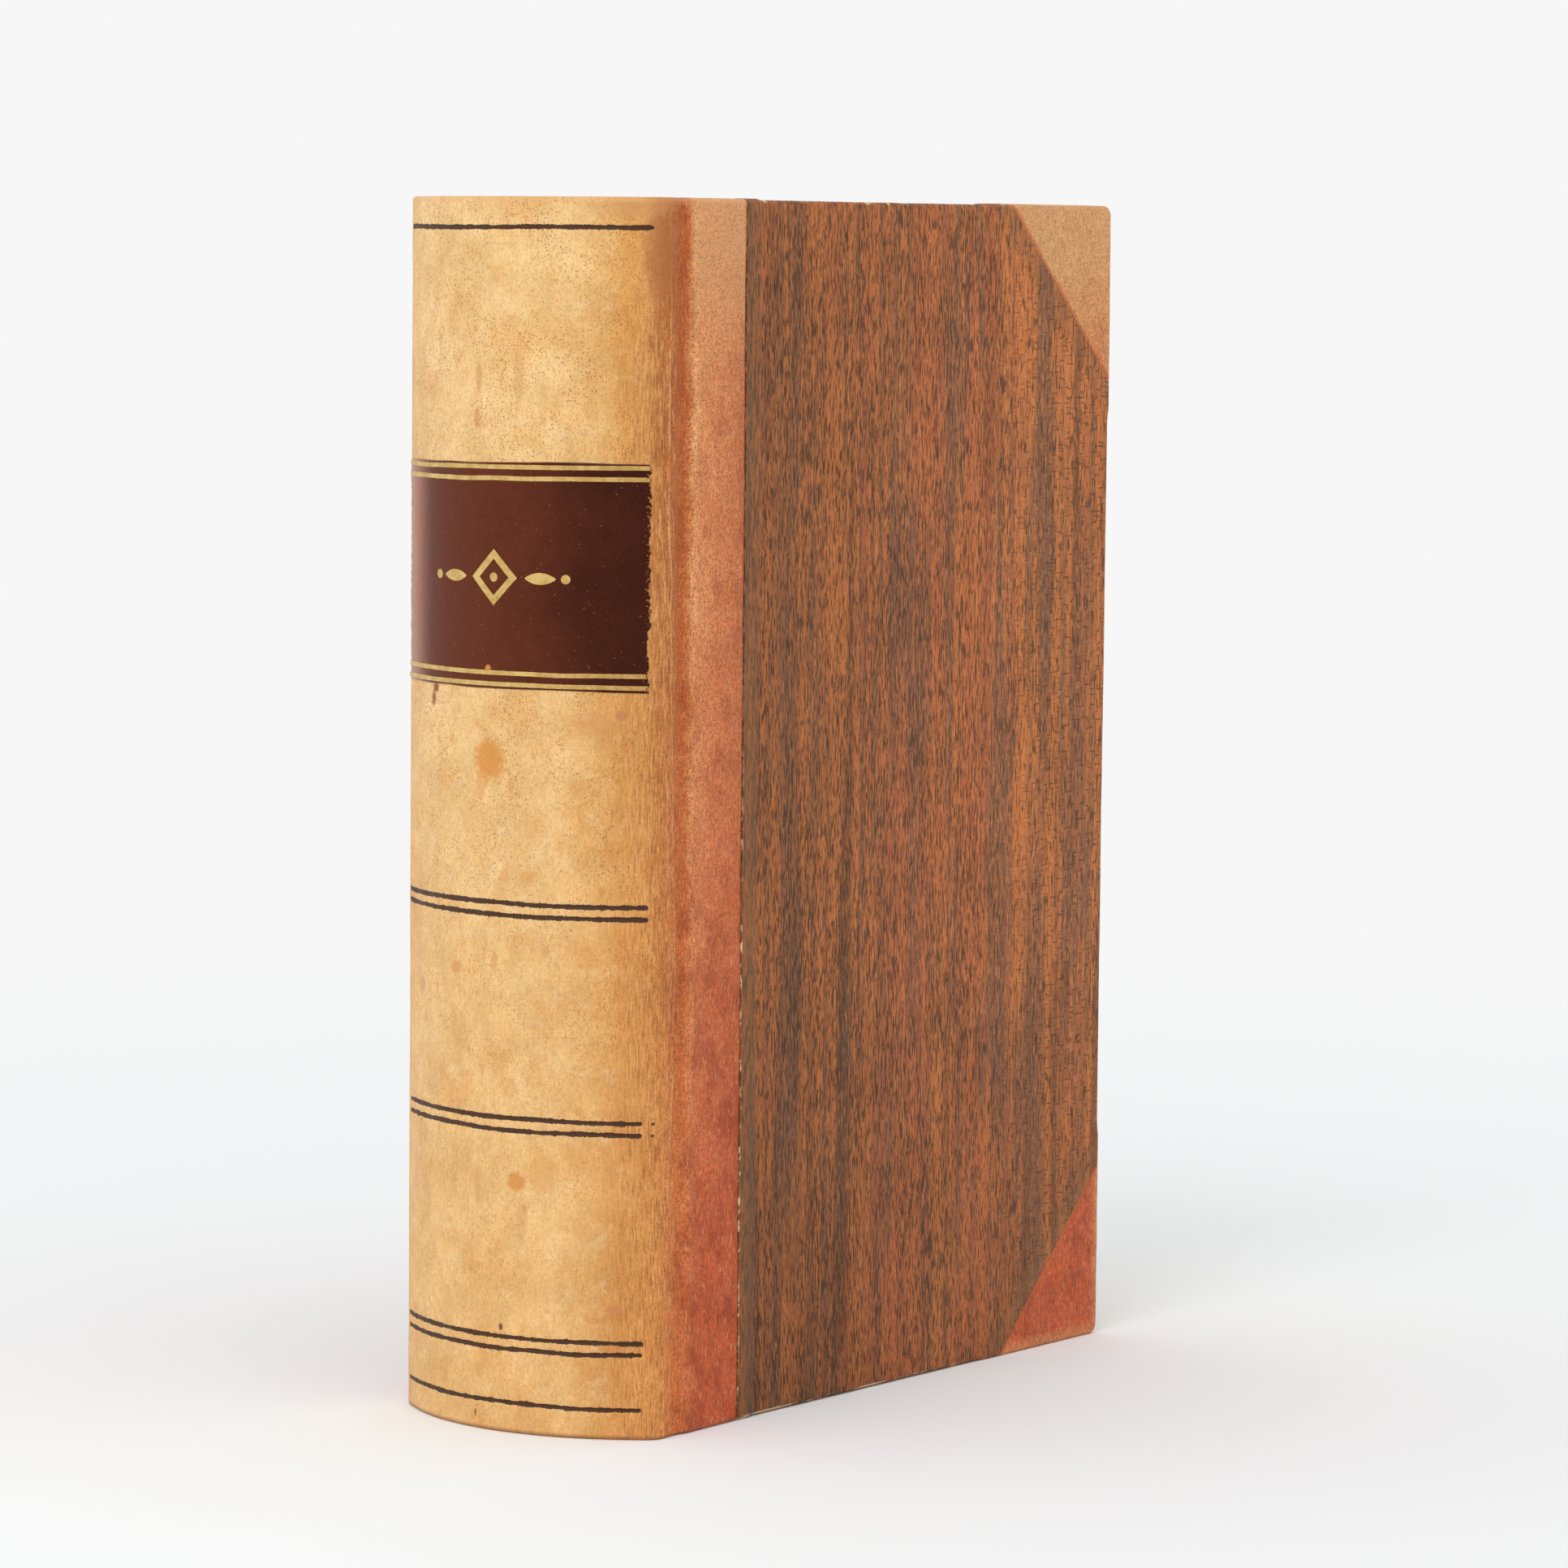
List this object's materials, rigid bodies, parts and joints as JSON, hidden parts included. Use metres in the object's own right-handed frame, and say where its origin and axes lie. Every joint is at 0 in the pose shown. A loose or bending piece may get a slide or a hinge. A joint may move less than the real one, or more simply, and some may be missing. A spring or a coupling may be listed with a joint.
{
  "type": "half-bound leather book",
  "caption": "Thick old book standing upright: rounded calf spine with a dark gilt label, leather corners, wood-figured paper sides and two covers that open.",
  "frame": {"origin": "middle of the closed book from spine to fore edge and from cover to cover, on the surface it stands on", "axes": "+Z from tail to head, -X out of the spine, +X out of the fore edge, -Y out of the front cover"},
  "size_m": [0.1534, 0.0586, 0.22],
  "materials": {
    "spine_calf": "light golden calf, aged, with dark pores and stains",
    "side_calf": "worn red-brown calf, satin",
    "label_leather": "smooth dark brown skiver, soft sheen",
    "gold_leaf": "thin dull gold leaf, slightly rubbed",
    "side_paper": "printed mahogany figure, satin",
    "page_paper": "aged page edges, toned at the rim",
    "endpaper": "aged plain cream paper",
    "millboard": "grey-brown pressed board",
    "hemp_cord": "twisted hemp",
    "lining_paper": "coarse grey lining paper",
    "band_silk": "wound silk in two colours, faded"
  },
  "bodies": {
    "root": {"text_block": "page_paper", "front_flyleaf": "endpaper", "back_flyleaf": "endpaper", "sewing_cords": "hemp_cord", "spine_lining": "lining_paper", "spine_hollow": "lining_paper", "head_endband": "band_silk", "tail_endband": "band_silk", "spine_leather": "spine_calf", "spine_label": "label_leather", "label_gilding": "gold_leaf"},
    "front_cover": {"front_pastedown": "endpaper", "front_cord_slips": "hemp_cord", "front_joint_leather": "side_calf", "front_head_corner": "side_calf", "front_tail_corner": "side_calf", "front_board": "millboard", "front_side_paper": "side_paper"},
    "back_cover": {"back_pastedown": "endpaper", "back_cord_slips": "hemp_cord", "back_joint_leather": "side_calf", "back_head_corner": "side_calf", "back_tail_corner": "side_calf", "back_board": "millboard", "back_side_paper": "side_paper"}
  },
  "joints": [
    {"name": "front_cover_hinge", "type": "hinge", "parent": "root", "child": "front_cover", "pos_m": [-0.0588, -0.0293, 0.11], "axis": [0, 0, -1], "range_deg": [0, 175]},
    {"name": "back_cover_hinge", "type": "hinge", "parent": "root", "child": "back_cover", "pos_m": [-0.0588, 0.0293, 0.11], "axis": [0, 0, 1], "range_deg": [0, 175]}
  ]
}
